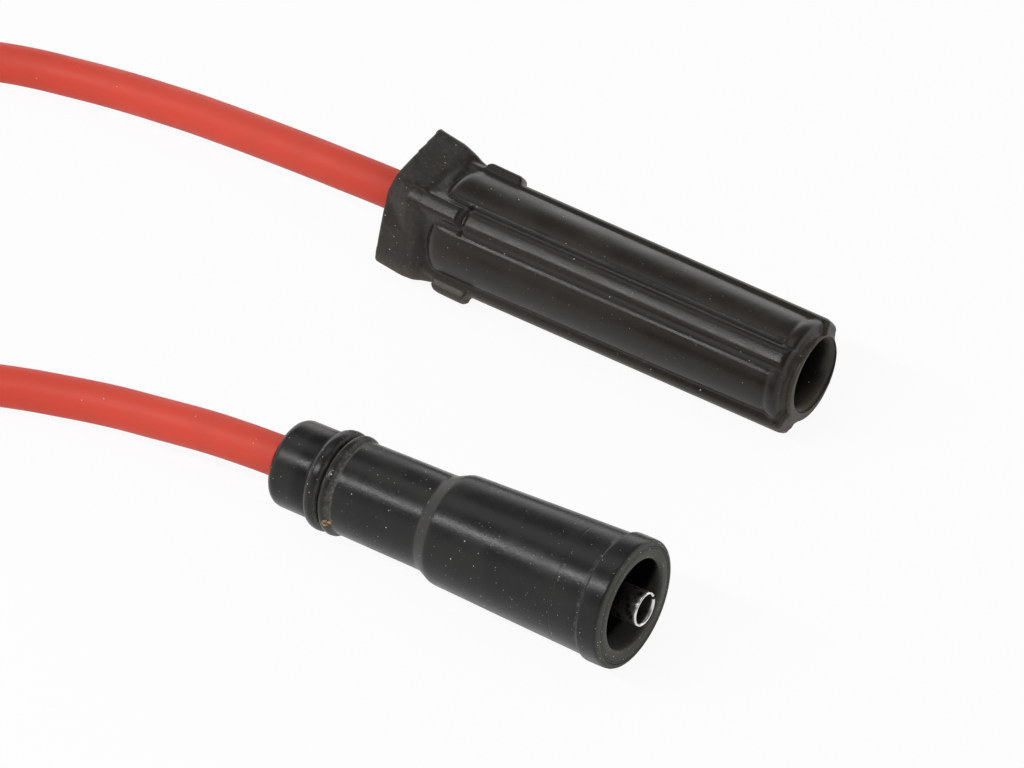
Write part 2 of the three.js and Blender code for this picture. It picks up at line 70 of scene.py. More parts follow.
# Ignition cable
# One length of 7 mm ignition cable: a stranded core and insulation under an extruded jacket of
# matt red silicone rubber. Each end is pushed into a boot and crimped; the rest lies in a loop.
CABLE_D = 7 * MM
ROUTE = [
    (-18.49, 31.75, 9.61), (-28.29, 31.91, 9.7), (-34.89, 32.17, 9.9), (-39.29, 32.42, 10.11),
    (-43.09, 32.69, 10.36), (-50.05, 32.17, 10.95), (-56, 31.99, 11), (-62.29, 32.26, 10.6),
    (-68.69, 32.63, 10), (-75.23, 33.15, 9.2), (-81.89, 33.77, 8.2), (-88.62, 34.43, 7.1),
    (-95.23, 34.86, 6), (-101.74, 35.1, 5), (-108.01, 34.97, 4.2), (-114.9, 34.18, 3.7),
    (-121.45, 32.91, 3.56), (-127.6, 31.06, 3.55), (-146.13, 23.5, 3.55), (-159.53, 15.1, 3.55),
    (-168.63, 2.2, 3.55), (-172.13, -13.2, 3.55), (-169.43, -28.8, 3.55), (-161.03, -42.2, 3.55),
    (-148.13, -51.3, 3.55), (-132.73, -54.8, 3.55), (-117.13, -52.1, 3.55), (-104.63, -47.3, 3.55),
    (-91.63, -42.3, 3.55), (-78.22, -36.99, 3.55), (-73.42, -35.22, 3.55), (-68.46, -33.7, 3.6),
    (-63.29, -32.46, 3.9), (-57.81, -31.67, 4.5), (-52.05, -31.3, 5.3), (-46.25, -31.02, 6.2),
    (-40.48, -30.76, 7), (-34.66, -30.6, 7.6), (-30.06, -30.45, 7.9), (-25.3, -30.34, 8.11),
    (-16.81, -30.49, 8.49), (-6.82, -30.66, 8.93), (3.26, -30.84, 9.38),
]


class Shade:
    """A socket in a material's nodes that can be used in sums like a number."""

    def __init__(self, tree, socket=None):
        self.tree = tree
        self.socket = socket

    def node(self, kind, settings=None, inputs=None, output=0):
        made = self.tree.nodes.new(kind)
        for name, value in (settings or {}).items():
            setattr(made, name, value)
        for name, value in (inputs or {}).items():
            if isinstance(value, Shade):
                self.tree.links.new(value.socket, made.inputs[name])
            elif made.inputs[name].type == "RGBA":
                made.inputs[name].default_value = (*value, 1)
            else:
                made.inputs[name].default_value = value
        return Shade(self.tree, made.outputs[output])

    def maths(self, operation, *values):
        return self.node("ShaderNodeMath", {"operation": operation}, dict(enumerate(values)))

    def __add__(self, other):
        return self.maths("ADD", self, other)

    __radd__ = __add__

    def __sub__(self, other):
        return self.maths("SUBTRACT", self, other)

    def __rsub__(self, other):
        return self.maths("SUBTRACT", other, self)

    def __mul__(self, other):
        return self.maths("MULTIPLY", self, other)

    __rmul__ = __mul__

    def capped(self):
        return self.maths("MINIMUM", self, 1.0)

    def ramp(self, low, high):
        """0 where the value is low, 1 where it is high, with soft ends."""
        return self.node("ShaderNodeMapRange", {"interpolation_type": "SMOOTHSTEP"},
                         {"Value": self, "From Min": low, "From Max": high})

    def between(self, low, high, soft):
        """1 between two values, 0 outside them."""
        return self.ramp(low - soft, low) * (1 - self.ramp(high, high + soft))

    def noise(self, scale, detail=3, rough=0.55):
        return self.node("ShaderNodeTexNoise", None,
                         {"Vector": self, "Scale": scale, "Detail": detail, "Roughness": rough})

    def tint(self, under, over):
        """The colour under, turned into the colour over by this amount from 0 to 1."""
        return self.node("ShaderNodeMix", {"data_type": "RGBA"}, {0: self, 6: under, 7: over}, 2)

    def specks(self, cell, size, share):
        """Round grains of dust: one in some of the cells, up to a size in mm."""
        cells = {"feature": "F1", "voronoi_dimensions": "3D"}
        spot = {"Vector": self, "Scale": 1 / cell, "Randomness": 1.0}
        distance = self.node("ShaderNodeTexVoronoi", cells, spot)
        chance = self.node("ShaderNodeSeparateColor", None,
                           {"Color": self.node("ShaderNodeTexVoronoi", cells, spot, "Color")})
        radius = (chance - (1 - share)) * (size / cell / share)
        return (radius - distance).ramp(0, size / cell * 0.35)


def start_material(name, place=None, turn=None):
    """A new material with its main shader and Object coordinates in mm, in a piece's frame if given."""
    material = bpy.data.materials.new(name)
    material.use_nodes = True
    tree = material.node_tree
    shader = tree.nodes["Principled BSDF"]
    shade = Shade(tree)
    spot = shade.node("ShaderNodeTexCoord", None, None, "Object")
    if place is not None:
        spot = shade.node("ShaderNodeMapping", {"vector_type": "TEXTURE"},
                          {"Vector": spot, "Location": place, "Rotation": turn})
    spot = shade.node("ShaderNodeVectorMath", {"operation": "SCALE"}, {"Vector": spot, "Scale": 1 / MM})
    return material, shader, spot


SOCKETS = {
    "base_color": "Base Color", "roughness": "Roughness", "metallic": "Metallic", "normal": "Normal",
    "specular_ior_level": "Specular IOR Level",
}


def feed(shader, **links):
    """Joins worked-out values to the shader's sockets; a number goes on the socket itself."""
    for name, value in links.items():
        socket = shader.inputs[SOCKETS[name]]
        if isinstance(value, Shade):
            value.tree.links.new(value.socket, socket)
        elif socket.type == "RGBA":
            socket.default_value = (*value, 1)
        else:
            socket.default_value = value


def relief(height, depth):
    """A bump from a height, whose full rise is a depth in mm."""
    return height.node("ShaderNodeBump", None,
                       {"Height": height, "Strength": 1.0, "Distance": depth * MM}, "Normal")


SILICONE_RED = (0.675, 0.062, 0.035)
SILICONE_WORN = (0.61, 0.068, 0.042)
CABLE_DUST = (0.80, 0.62, 0.56)

curve = bpy.data.curves.new("cable_jacket", "CURVE")
curve.dimensions = "3D"
curve.bevel_depth = CABLE_D / 2
curve.bevel_resolution = 10
curve.resolution_u = 12
curve.use_fill_caps = True
spline = curve.splines.new("BEZIER")
spline.bezier_points.add(len(ROUTE) - 1)
for knot, place in zip(spline.bezier_points, ROUTE):
    knot.co = Vector(place) * MM
    knot.handle_left_type = "AUTO"
    knot.handle_right_type = "AUTO"
cable = bpy.data.objects.new("cable_jacket", curve)
bpy.context.collection.objects.link(cable)
bpy.context.view_layer.update()
line = []
for start, end in zip(spline.bezier_points, spline.bezier_points[1:]):
    line += interpolate_bezier(start.co, start.handle_right, end.handle_left, end.co, 9)[:-1]
line.append(spline.bezier_points[-1].co.copy())
bpy.ops.object.select_all(action="DESELECT")
cable.select_set(True)
bpy.context.view_layer.objects.active = cable
bpy.ops.object.convert(target="MESH")
cable = bpy.context.object
bpy.ops.object.shade_smooth_by_angle(angle=math.radians(40))
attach(cable, "root")
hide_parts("cable")

silicone, shader, spot = start_material("red_silicone")
wear = spot.noise(0.12, 4).ramp(0.35, 0.7)
grain = spot.noise(5.5, 3)
grit = spot.specks(1.7, 0.16, 0.5)
skin = (grit * 0.55).tint((wear * 0.6).tint(SILICONE_RED, SILICONE_WORN), CABLE_DUST)
feed(shader, base_color=skin, roughness=0.5 + wear * 0.1 + grit * 0.2,
     normal=relief(grain * 0.6 + grit, 0.03), specular_ior_level=0.3)
cable.data.materials.append(silicone)

# Coil boot
# The round boot that pushes over the coil's tower: moulded in one piece of black rubber, with two
# grip rings near its tail, a thicker front half over the tower and a flat lip round its mouth.
COIL_MOUTH = Vector((41.12, -31.5, 11.063)) * MM
COIL_TURN = Euler((0, math.radians(-2.547), math.radians(-1)))
COIL_OUTSIDE = [
    (-65.75, 4.6), (-66, 5.2), (-66, 6.1), (-65.9, 6.6), (-65.6, 7.0), (-65.15, 7.3), (-64.8, 7.4),
    (-64.5, 7.44), (-64.1, 7.45), (-60, 7.5), (-58.7, 7.53), (-58.45, 7.5), (-58.25, 7.62),
    (-58.1, 7.95), (-57.85, 8.28), (-57.4, 8.5), (-56.8, 8.59), (-56.2, 8.53), (-55.85, 8.34),
    (-55.65, 8.0), (-55.55, 7.66), (-55.4, 7.6), (-55.28, 7.72), (-55.15, 8.05), (-54.9, 8.36),
    (-54.45, 8.53), (-53.95, 8.47), (-53.6, 8.22), (-53.42, 7.92), (-53.3, 7.84), (-53.1, 7.88),
    (-52.4, 7.93), (-46, 8.02), (-40, 8.1), (-37.2, 8.15), (-36.6, 8.2), (-36.2, 8.34), (-34.5, 9.12),
    (-34.0, 9.31), (-33.4, 9.38), (-33.0, 9.41), (-32.6, 9.43), (-28, 9.58), (-20, 9.88), (-12, 10.14),
    (-9.9, 10.21), (-9.75, 10.215), (-9.65, 10.18), (-9.55, 10.225), (-9.4, 10.23), (-4.8, 10.39),
    (-4.5, 10.4), (-4.25, 10.44), (-4.12, 10.68), (-3.98, 10.84), (-3.7, 10.9), (-3.4, 10.91),
    (-2, 10.92), (-1, 10.91), (-0.75, 10.9), (-0.4, 10.83), (-0.15, 10.68), (-0.03, 10.45),
    (0.02, 10.2), (0.03, 10.02), (-0.07, 9.92), (0.03, 9.82), (0.03, 9.66), (-0.05, 9.57), (0.02, 9.48),
    (0.0, 8.3), (-0.05, 8.05), (-0.2, 7.82), (-0.5, 7.68), (-1.2, 7.65),
]
COIL_INSIDE = [(-14, 7.65), (-26.8, 7.65), (-27, 7.5), (-27, 4.6), (-46.4, 4.6), (-47.4, 3.8), (-65.3, 3.8)]
COIL_SIDES = 144


def draw_out(name, profile, sides, fill):
    """A ring about the X axis drawn out along a profile of stations and radii, left in edit mode."""
    station, radius = profile[0]
    bpy.ops.object.select_all(action="DESELECT")
    bpy.ops.mesh.primitive_circle_add(vertices=sides, radius=radius * MM, fill_type=fill,
                                      location=(station * MM, 0, 0), rotation=(0, math.pi / 2, 0))
    piece = bpy.context.object
    piece.name = name
    bpy.ops.object.transform_apply()
    bpy.ops.object.mode_set(mode="EDIT")
    bpy.ops.mesh.select_all(action="SELECT")
    for (station, radius), (station_next, radius_next) in zip(profile, profile[1:]):
        along = (station_next - station) * MM
        bpy.ops.mesh.extrude_region_move(TRANSFORM_OT_translate={"value": (along, 0, 0)})
        grow = radius_next / radius
        bpy.ops.transform.resize(value=(1, grow, grow), center_override=(station_next * MM, 0, 0))
    return piece


def close_up():
    """Turns the edited piece's faces outward and leaves edit mode."""
    bpy.ops.mesh.select_all(action="SELECT")
    bpy.ops.mesh.normals_make_consistent(inside=False)
    bpy.ops.object.mode_set(mode="OBJECT")


def turn_hollow(name, profile, sides):
    """A closed turned form with a bore: its last ring is bridged to its first."""
    piece = draw_out(name, profile, sides, "NOTHING")
    bpy.ops.mesh.select_all(action="DESELECT")
    bpy.ops.mesh.select_non_manifold(extend=False, use_wire=False, use_multi_face=False,
                                     use_non_contiguous=False, use_verts=False)
    bpy.ops.mesh.bridge_edge_loops()
    close_up()
    return piece


def set_down(piece, place, turn):
    """Lays a piece made along the X axis in its place, and keeps that place in its mesh."""
    bpy.ops.object.select_all(action="DESELECT")
    piece.select_set(True)
    bpy.context.view_layer.objects.active = piece
    piece.rotation_euler = turn
    piece.location = place
    bpy.ops.object.transform_apply(location=True, rotation=True, scale=True)


coil_boot = turn_hollow("coil_boot_rubber", COIL_OUTSIDE + COIL_INSIDE, COIL_SIDES)
bpy.ops.object.shade_smooth_by_angle(angle=math.radians(50))
set_down(coil_boot, COIL_MOUTH, COIL_TURN)
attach(coil_boot, "root")
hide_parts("coil_boot")

RUBBER_BLACK = (0.0115, 0.0115, 0.011)
RUBBER_DUST = (0.20, 0.195, 0.17)
LIP_DUST = (0.072, 0.072, 0.060)
# painted shade: the near-black given to both boots' bores behind their mouths, darker than the rubber
# itself
PAINTED_BORE_SHADE = (0.004, 0.004, 0.004)
GRIT = (0.62, 0.60, 0.54)
CRUMB_AT = (-53.55, -8.2, -1.6)
CRUMB_DARK = (0.06, 0.03, 0.02)
CRUMB_AMBER = (0.55, 0.36, 0.14)


def from_axis(spot):
    """A place's station along a boot, its height over the boot's axis and its distance from it."""
    place = {"Vector": spot}
    station, across, up = (spot.node("ShaderNodeSeparateXYZ", None, place, axis) for axis in "XYZ")
    return station, up, spot.maths("SQRT", across * across + up * up)


def hairlines(spot):
    """Short hair scratches in three directions: grains of a pattern drawn out long and thin."""
    lines = 0.0
    for turn, stretch in (((0.3, 0.2, 0.7), 0.10), ((0.1, -0.5, -0.9), 0.13), ((-0.4, 0.6, 1.9), 0.09)):
        needles = spot.node("ShaderNodeMapping", None,
                            {"Vector": spot, "Rotation": turn, "Scale": (stretch, 1, 1)})
        lines = needles.specks(0.9, 0.085, 0.5) + lines
    return lines.capped() * spot.noise(0.22, 2).ramp(0.45, 0.62)


rubber, shader, spot = start_material("coil_boot_rubber", COIL_MOUTH, COIL_TURN)
station, up, radius = from_axis(spot)
smudge = spot.noise(0.16, 4).ramp(0.35, 0.72)
film = spot.noise(1.3, 5, 0.65).ramp(0.42, 0.75)
within = 1 - radius.ramp(7.7, 7.9)
# the bore's wall next to the mouth takes the lip's dust colour and reaches deeper on its lower side; past
# it the wall is painted dark as shade
wall_out_of_bore_shade = (station - up * 0.366).ramp(-2.1, -0.8)
face = (station.ramp(-0.5, -0.1) * radius.ramp(7.7, 8.3) + within * wall_out_of_bore_shade * 0.8).capped()
rings = (radius.between(9.87, 9.97, 0.05) + radius.between(9.5, 9.58, 0.05) * 0.8
         + radius.between(9.05, 9.1, 0.04) * 0.4)
grips = station.between(-58.6, -52.9, 0.3)
grooves = grips * (1 - radius.ramp(8.2, 8.55))
lip_side = station.between(-4.6, -3.9, 0.25) * (1 - radius.ramp(10.6, 10.85))
# paler and rougher towards the bottom of the boot
low_side = (0 - up).ramp(2, 10)
# the step band is made paler: partly dust, partly a painted reflection of the white surroundings
step_dust_and_sheen = station.between(-36.5, -34.1, 0.15)
# painted shade: the coil boot's bore, behind the wall next to its mouth, is darkened as shade
inside = within * (1 - wall_out_of_bore_shade) * (1 - station.ramp(-0.4, 0.0)) * station.ramp(-62, -60)
fine = spot.specks(0.7, 0.12, 0.8) * (0.4 + film * 0.45 + grips * 0.7 + face * 0.6 + lip_side)
grit = (spot.specks(1.5, 0.17, 0.7) + fine).capped() * (1 - inside)
lines = hairlines(spot) * (1 - inside)
# dust in the grooves, on the lip's side, on the step and in patches, with the step's painted reflection and
# the paler bottom
dust_and_pale_bands = grooves * (0.16 + film * 0.5) + lip_side * film * 0.35 + smudge * 0.03 + step_dust_and_sheen * 0.1 + low_side * 0.4
skin = dust_and_pale_bands.tint(RUBBER_BLACK, RUBBER_DUST)
skin = (face * (0.75 + film * 0.25)).tint(skin, LIP_DUST)
skin = (face * rings * 0.8).tint(skin, RUBBER_BLACK)
# painted shade laid over the rubber, its hairlines and its dust deep in the bore
skin = inside.tint((lines * 0.4).tint(skin, RUBBER_DUST), PAINTED_BORE_SHADE)
crumb = spot.node("ShaderNodeVectorMath", {"operation": "DISTANCE"}, {0: spot, 1: CRUMB_AT}, "Value")
crumb = 1 - (crumb + spot.noise(1.6, 3) * 0.9).ramp(1.15, 1.4)
crumb_skin = spot.noise(2.1, 2).ramp(0.4, 0.6).tint(CRUMB_DARK, CRUMB_AMBER)
skin = crumb.tint((grit * 0.8).tint(skin, GRIT), crumb_skin)
ripple = spot.noise(2.2, 4) * 0.3 + spot.noise(0.35, 2) * 0.3
feed(shader, base_color=skin, roughness=0.25 + smudge * 0.08 + (dust_and_pale_bands + face * 0.5) * 0.6 + lines * 0.2,
     normal=relief(ripple + grit * 0.8 - lines * 0.3 + crumb * 4, 0.05), specular_ior_level=0.26)
coil_boot.data.materials.append(rubber)

# Coil terminal
# The socket that snaps over the coil's pin: tinned sheet steel rolled into a slit tube, with its
# front edge rolled over, and necked down behind to the crimps on the core and on the jacket.
SOCKET_SIDES = 64
SOCKET_SLIT = 0.8
COIL_SLIT_TURN = math.radians(78)
COIL_SOCKET = [
    (1.0, 2.4), (1.6, 2.44), (1.88, 2.54), (1.98, 2.64), (2.0, 2.72), (1.96, 2.82), (1.86, 2.88),
    (1.7, 2.9), (1.0, 2.88), (-28, 2.9), (-31, 1.7), (-34.6, 1.7), (-37.6, 4.3), (-46.1, 4.3),
    (-46.1, 3.8), (-37.6, 3.8), (-34.6, 1.2), (-31, 1.2), (-28, 2.4),
]


def cut_out(piece, cutter):
    """Takes the cutter's form out of a piece, then removes the cutter."""
    cut = piece.modifiers.new("cut", "BOOLEAN")
    cut.operation = "DIFFERENCE"
    cut.object = cutter
    bpy.context.view_layer.objects.active = piece
    bpy.ops.object.modifier_apply(modifier=cut.name)
    bpy.data.objects.remove(cutter)


coil_socket = turn_hollow("coil_socket", COIL_SOCKET, SOCKET_SIDES)
bpy.ops.object.select_all(action="DESELECT")
bpy.ops.mesh.primitive_cube_add(size=1, location=(-22 * MM, 0, 7.5 * MM),
                                scale=(52 * MM, SOCKET_SLIT * MM, 14 * MM))
cut_out(coil_socket, bpy.context.object)
set_down(coil_socket, (0, 0, 0), (-COIL_SLIT_TURN, 0, 0))
bpy.ops.object.shade_smooth_by_angle(angle=math.radians(40))
set_down(coil_socket, COIL_MOUTH, COIL_TURN)
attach(coil_socket, "root")
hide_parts("coil_terminal")

TIN = (0.72, 0.71, 0.67)
# a dark tone for stains on the tin and for painted shade inside the boots
TIN_STAIN_AND_SHADE = (0.028, 0.023, 0.018)
tin, shader, spot = start_material("tinned_steel", COIL_MOUTH, COIL_TURN)
stain = spot.noise(0.9, 4).ramp(0.45, 0.75)
# painted shade: the tin is darkened as shade everywhere behind the coil socket's rolled rim, so also all of
# the plug's socket deep in its boot; random stains lie over it
inward_painted_shade = 1 - spot.node("ShaderNodeSeparateXYZ", None, {"Vector": spot}, "X").ramp(1.35, 1.75)
skin = (stain * 0.15 + inward_painted_shade * (0.8 + stain * 0.2)).capped().tint(TIN, TIN_STAIN_AND_SHADE)
feed(shader, base_color=skin, metallic=1.0, roughness=0.24 + stain * 0.12 + inward_painted_shade * 0.2,
     normal=relief(spot.noise(4, 3), 0.015))
coil_socket.data.materials.append(tin)
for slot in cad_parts["plug_terminal"].material_slots:
    slot.material = tin

# Plug boot
# The long boot that seals on the spark plug's insulator: moulded brownish black rubber with four
# low ribs along its body, a short lug at the rear of each and a square collar to pull it off by.
PLUG_MOUTH = Vector((35.7, 30.99, 9.29)) * MM
PLUG_TURN = Euler((0, math.radians(0.339), math.radians(-0.8)))
PLUG_ROLL = math.radians(37.8)
PLUG_LENGTH = 78.8
PLUG_BODY = [
    (-76, 7.3), (-70.9, 7.3), (-70.3, 7.42), (-69.8, 7.9), (-69.3, 8.6), (-68.8, 9.15), (-68.0, 9.5),
    (-67.0, 9.58), (-64, 9.56), (-50, 9.42), (-36, 9.32), (-20, 9.2), (-5.2, 9.07), (-4.3, 9.05),
    (-3.8, 9.0), (-3.4, 8.9), (-3.05, 9.0), (-2.7, 9.16), (-2.2, 9.24), (-1.6, 9.22), (-1.1, 9.08),
    (-0.8, 8.8), (-0.6, 8.3), (-0.45, 7.7), (-0.25, 7.35), (0.0, 7.35), (0.3, 7.5), (0.6, 7.66),
    (0.8, 7.6), (0.9, 7.35), (0.92, 7.0),
]
PLUG_HOLLOW = [
    (2, 6.72), (0.6, 6.72), (0.45, 6.66), (0.3, 6.5), (0.1, 6.32), (-0.3, 6.12), (-0.9, 5.92),
    (-1.8, 5.7), (-3.4, 5.55), (-30, 5.5), (-30, 5.3), (-44.3, 5.3), (-47.3, 4.6), (-62.7, 4.6),
    (-63.7, 3.8), (-78.6, 3.8), (-79.6, 4.3), (-82, 4.3),
]
PLUG_BORE_SHIFT = 0.75       # the bore sits off centre towards the top rib
PLUG_SIDES = 96
VOXEL = 0.3
RIB_TURNS = (0, 90, 180, 270)          # top, front, bottom, rear, from the top one


def pick(test):
    """Selects the points of the piece in edit mode whose place passes a test, in mm."""
    mesh = bmesh.from_edit_mesh(bpy.context.object.data)
    for vert in mesh.verts:
        vert.select = test(vert.co / MM)
    mesh.select_flush_mode()
    bmesh.update_edit_mesh(bpy.context.object.data)


def turn_solid(name, profile, sides):
    """A turned form with a flat face at each end."""
    piece = draw_out(name, profile, sides, "NGON")
    close_up()
    return piece


def bar(name, start, end, width, foot, crest):
    """A bar along the boot on its +Y side, with its four long edges square."""
    bpy.ops.object.select_all(action="DESELECT")
    bpy.ops.mesh.primitive_cube_add(size=1, location=((start + end) / 2 * MM, (foot + crest) / 2 * MM, 0),
                                    scale=((end - start) * MM, (crest - foot) * MM, width * MM))
    piece = bpy.context.object
    piece.name = name
    bpy.ops.object.transform_apply()
    return piece


# the four ribs and lugs, each turned to its side of the body
RIB_CRESTS = (10.35, 10.35, 10.5, 10.35)
MOUTH_CRESTS = (9.9, 9.75, 10.2, 9.75)
RIB_ENDS = (0.35, -0.3, 0.5, -0.3)
LUG_STARTS = (-68.2, -75.0, -67.9, -75.0)
LUG_ENDS = (-61.2, -64.1, -61.4, -64.1)
LUG_REACH = (11.5, 11.15, 12.1, 11.15)
RIB_START = -74.4
RIB_WIDTH = 4.7
RIB_ROUND = 1.85
LUG_WIDTH = 3.3
LUG_ROUND = 0.95
BAR_FOOT = 7.6               # the bars' undersides lie inside the body
CREST_FROM = 8               # a bar's points beyond this radius are its crest's
pieces = [turn_solid("plug_boot_rubber", PLUG_BODY, PLUG_SIDES)]
for turn, crest, mouth_crest, rib_end, lug_start, lug_end, reach in zip(
        RIB_TURNS, RIB_CRESTS, MOUTH_CRESTS, RIB_ENDS, LUG_STARTS, LUG_ENDS, LUG_REACH):
    rib = bar("rib", RIB_START, rib_end, RIB_WIDTH, BAR_FOOT, crest)
    bpy.ops.object.mode_set(mode="EDIT")
    pick(lambda p: p.y > CREST_FROM)
    bpy.ops.mesh.bevel(offset=RIB_ROUND * MM, segments=7, profile=0.52, clamp_overlap=True)
    bpy.ops.mesh.select_all(action="SELECT")
    bpy.ops.mesh.bisect(plane_co=((rib_end - 2.0) * MM, 0, 0), plane_no=(1, 0, 0))
    drop = mouth_crest - crest
    pick(lambda p: p.x > rib_end - 2.1 and p.y > CREST_FROM)
    bpy.ops.transform.translate(value=(0, drop * MM * 0.7, 0))
    pick(lambda p: p.x > rib_end - 0.3 and p.y > CREST_FROM)
    bpy.ops.transform.translate(value=(0, (drop * 0.3 - 0.5) * MM, 0))
    bpy.ops.object.mode_set(mode="OBJECT")
    lug = bar("lug", lug_start, lug_end, LUG_WIDTH, BAR_FOOT, reach)
    bpy.ops.object.mode_set(mode="EDIT")
    pick(lambda p: p.y > CREST_FROM)
    bpy.ops.mesh.bevel(offset=LUG_ROUND * MM, segments=5, profile=0.5, clamp_overlap=True)
    if lug_start < -70:                # a lug that starts in the collar rises out of it
        bpy.ops.mesh.select_all(action="SELECT")
        bpy.ops.mesh.bisect(plane_co=(-71.5 * MM, 0, 0), plane_no=(1, 0, 0))
        pick(lambda p: p.x < -72 and p.y > CREST_FROM)
        bpy.ops.transform.translate(value=(0, -1.2 * MM, 0))
    bpy.ops.object.mode_set(mode="OBJECT")
    for piece in (rib, lug):
        set_down(piece, (0, 0, 0), (math.radians(turn), 0, 0))
        pieces.append(piece)

# the square collar: its corners stand on the ribs' lines and slope down to the lugs, and its flat
# sides fall off into a hollow behind the body's shoulder
COLLAR_CORNERS = (
    (13.0, 10.4, 12.75, 12.0), (12.65, 12.6, 12.85, 12.4), (12.2, 12.5, 12.65, 12.4),
    (12.0, 12.45, 12.5, 12.3), (11.85, 12.3, 12.3, 12.2), (11.6, 12.1, 12.1, 12.0),
    (11.0, 11.6, 11.5, 11.6),
)
COLLAR_SIDES = (8.95, 8.95, 8.9, 8.55, 7.8, 7.3, 7.2)
COLLAR_STATIONS = (-78.8, -74.1, -72.3, -71.6, -71.0, -70.4, -68.2)
COLLAR_BACKWARD = (0.9, 0.1, 1.0, 0.3)
COLLAR_ROUND = (0.8, 2.2, 1.2, 1.8)
CORNERS = ((1, 0), (0, 1), (-1, 0), (0, -1))
SMALL_R = 5
bpy.ops.object.select_all(action="DESELECT")
bpy.ops.mesh.primitive_circle_add(vertices=8, radius=SMALL_R * MM, fill_type="NGON",
                                  location=(COLLAR_STATIONS[0] * MM, 0, 0), rotation=(0, math.pi / 2, 0))
collar = bpy.context.object
collar.name = "collar"
bpy.ops.object.transform_apply()
bpy.ops.object.mode_set(mode="EDIT")
bpy.ops.mesh.select_all(action="SELECT")
for start, end in zip(COLLAR_STATIONS, COLLAR_STATIONS[1:]):
    bpy.ops.mesh.extrude_region_move(TRANSFORM_OT_translate={"value": ((end - start) * MM, 0, 0)})
for place, reaches, side in zip(COLLAR_STATIONS, COLLAR_CORNERS, COLLAR_SIDES):
    pick(lambda p: abs(p.x - place) < 0.1 and min(abs(p.y), abs(p.z)) > 1)
    bpy.ops.transform.resize(value=(1, side / SMALL_R, side / SMALL_R), center_override=(place * MM, 0, 0))
    for (y, z), reach in zip(CORNERS, reaches):
        pick(lambda p: abs(p.x - place) < 0.1 and p.y * y + p.z * z > 4.9 and min(abs(p.y), abs(p.z)) < 1)
        bpy.ops.transform.translate(value=(0, y * (reach - SMALL_R) * MM, z * (reach - SMALL_R) * MM))
for (y, z), size, backward in zip(CORNERS, COLLAR_ROUND, COLLAR_BACKWARD):
    pick(lambda p: p.x < -78.7 and p.y * y + p.z * z > 9.9)
    bpy.ops.transform.translate(value=(-backward * MM, 0, 0))
    pick(lambda p: p.y * y + p.z * z > 9.9)
    fullness = 0.35 if size > 1.5 else 0.5         # a wide corner is cut almost flat
    bpy.ops.mesh.bevel(offset=size * MM, segments=5, profile=fullness, clamp_overlap=True)
close_up()
pieces.append(collar)

# the pieces run together into one moulding, softened as rubber comes out of its mould
bpy.ops.object.select_all(action="DESELECT")
for piece in pieces:
    piece.select_set(True)
plug_boot = pieces[0]
bpy.context.view_layer.objects.active = plug_boot
bpy.ops.object.join()
remesh = plug_boot.modifiers.new("run together", "REMESH")
remesh.mode = "VOXEL"
remesh.voxel_size = VOXEL * MM
bpy.ops.object.modifier_apply(modifier=remesh.name)
soften = plug_boot.modifiers.new("soften", "SMOOTH")
soften.factor = 0.5
soften.iterations = 2
bpy.ops.object.modifier_apply(modifier=soften.name)

hollow = turn_solid("hollow", PLUG_HOLLOW, PLUG_SIDES)
set_down(hollow, (0, PLUG_BORE_SHIFT * MM, 0), (0, 0, 0))
cut_out(plug_boot, hollow)

set_down(plug_boot, (0, 0, 0), (PLUG_ROLL, 0, 0))
# a fine valley runs along the foot of each rib, a slot ends the front and rear lugs, and the
# cable pulls the boot's tail up and sideways
VALLEY_AT = 2.62
VALLEY_WIDTH = 0.5
VALLEY_DEPTH = 0.2
VALLEY_START = -69
VALLEY_END = -1.5
NOTCH_AT = -63.6
NOTCH_WIDTH = 0.4
NOTCH_DEPTH = 0.45
TAIL_BEND_FROM = 60
TAIL_LIFT = 0.6
TAIL_SWAY = 0.6
for vert in plug_boot.data.vertices:
    place = vert.co / MM
    reach = math.hypot(place.y, place.z)
    if reach > 8.2 and VALLEY_START < place.x < VALLEY_END:
        turned_by = math.atan2(place.z, place.y) - PLUG_ROLL
        away = math.remainder(turned_by, math.pi / 2)
        off_foot = (abs(away) * reach - VALLEY_AT) / VALLEY_WIDTH
        fade = min(1, (place.x - VALLEY_START) / 2, (VALLEY_END - place.x) / 2)
        sink = VALLEY_DEPTH * math.exp(-off_foot * off_foot) * fade
        if abs(away) * reach < 2.7 and abs(math.sin(turned_by)) > 0.7:
            off_notch = (place.x - NOTCH_AT) / NOTCH_WIDTH
            sink += NOTCH_DEPTH * math.exp(-off_notch * off_notch)
        vert.co.y -= vert.co.y / reach * sink
        vert.co.z -= vert.co.z / reach * sink
    past = max(0, -vert.co.x / MM - TAIL_BEND_FROM) / (PLUG_LENGTH - TAIL_BEND_FROM)
    vert.co.y += TAIL_SWAY * MM * past * past
    vert.co.z += TAIL_LIFT * MM * past * past
bpy.ops.object.shade_smooth_by_angle(angle=math.radians(45))
set_down(plug_boot, PLUG_MOUTH, PLUG_TURN)
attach(plug_boot, "root")
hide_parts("plug_boot")

RUBBER_BROWN = (0.0120, 0.0088, 0.0054)
BROWN_DUST = (0.17, 0.145, 0.11)
brown, shader, spot = start_material("plug_boot_rubber", PLUG_MOUTH, PLUG_TURN)
station, up, radius = from_axis(spot)
smudge = spot.noise(0.13, 4).ramp(0.38, 0.7)
film = spot.noise(1.2, 5, 0.65).ramp(0.45, 0.75)
collar_part = 1 - station.ramp(-73, -66)
mouth_part = station.ramp(-1.2, 0)
# painted shade: the plug boot's bore, from behind the mouth back to the collar, is darkened as shade
inside = (1 - radius.ramp(6.6, 7.0)) * (1 - station.ramp(-4.5, -0.6)) * station.ramp(-76, -74)
